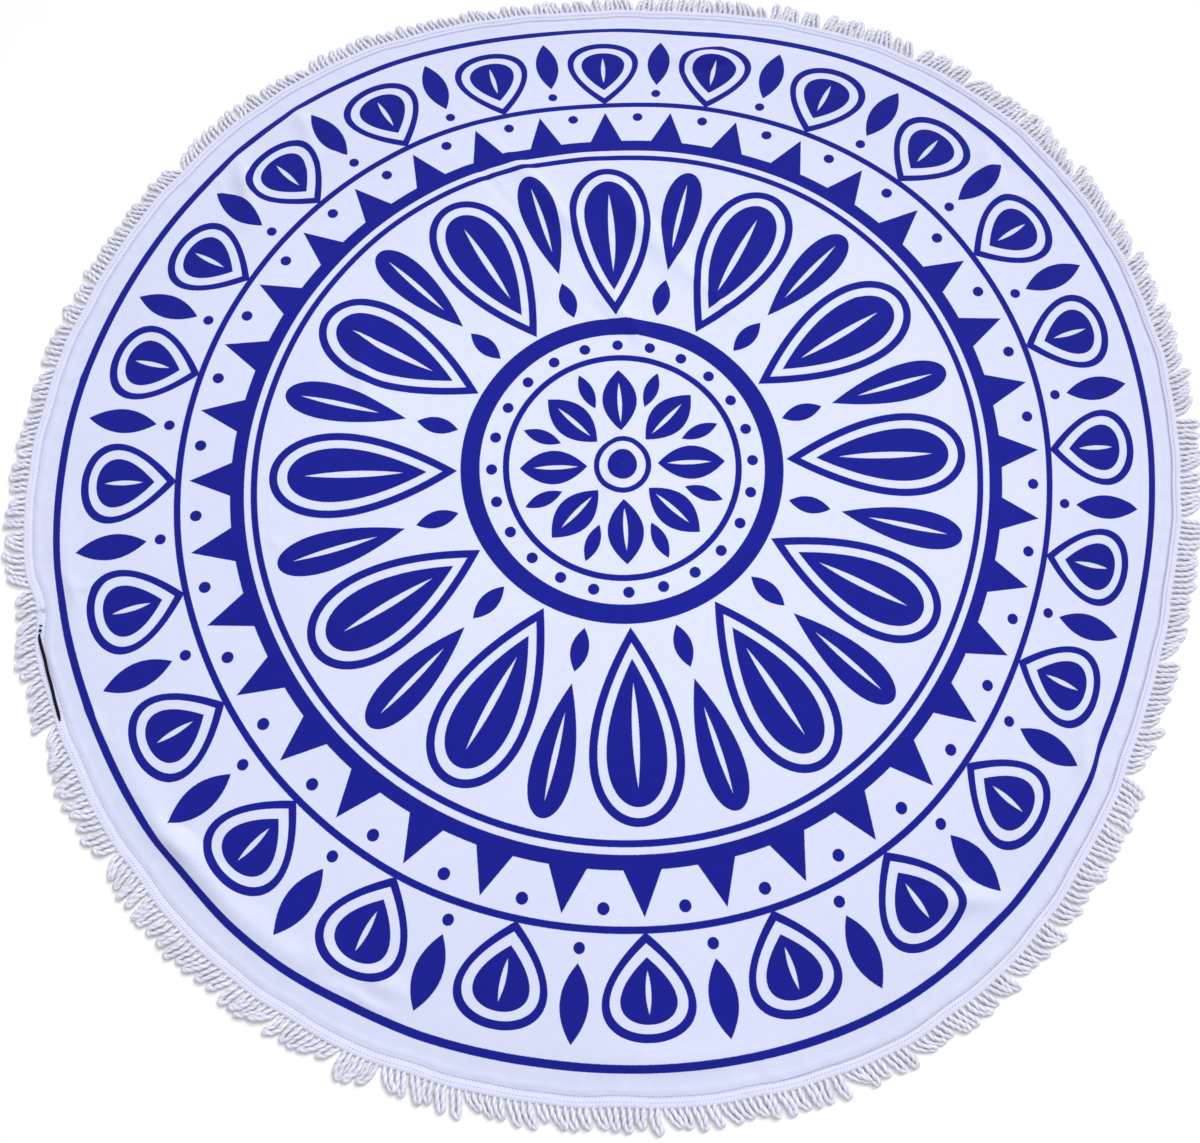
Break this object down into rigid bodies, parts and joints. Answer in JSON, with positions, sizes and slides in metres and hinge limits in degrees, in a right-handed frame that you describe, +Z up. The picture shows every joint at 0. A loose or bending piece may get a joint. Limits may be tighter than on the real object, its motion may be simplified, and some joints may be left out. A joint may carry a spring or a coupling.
{
  "type": "round beach towel",
  "caption": "Round beach towel of thin printed towelling, lying flat with a few soft folds, with a looped cord fringe sewn round its hem.",
  "frame": {"origin": "bottom centre of the bounding box, on the ground under the towel", "axes": "+Z up, the printed face up; the trim's ends meet towards -X"},
  "size_m": [1.5186, 1.4781, 0.0077],
  "materials": {
    "towelling": "matt white towelling with a cobalt blue print on its face",
    "cord": "matt white twisted cotton cord on a ribbed heading tape",
    "thread": "matt white sewing thread",
    "dark_thread": "matt black marking thread"
  },
  "bodies": {
    "root": {"towel_cloth": "towelling", "loop_fringe": "cord"}
  },
  "joints": []
}
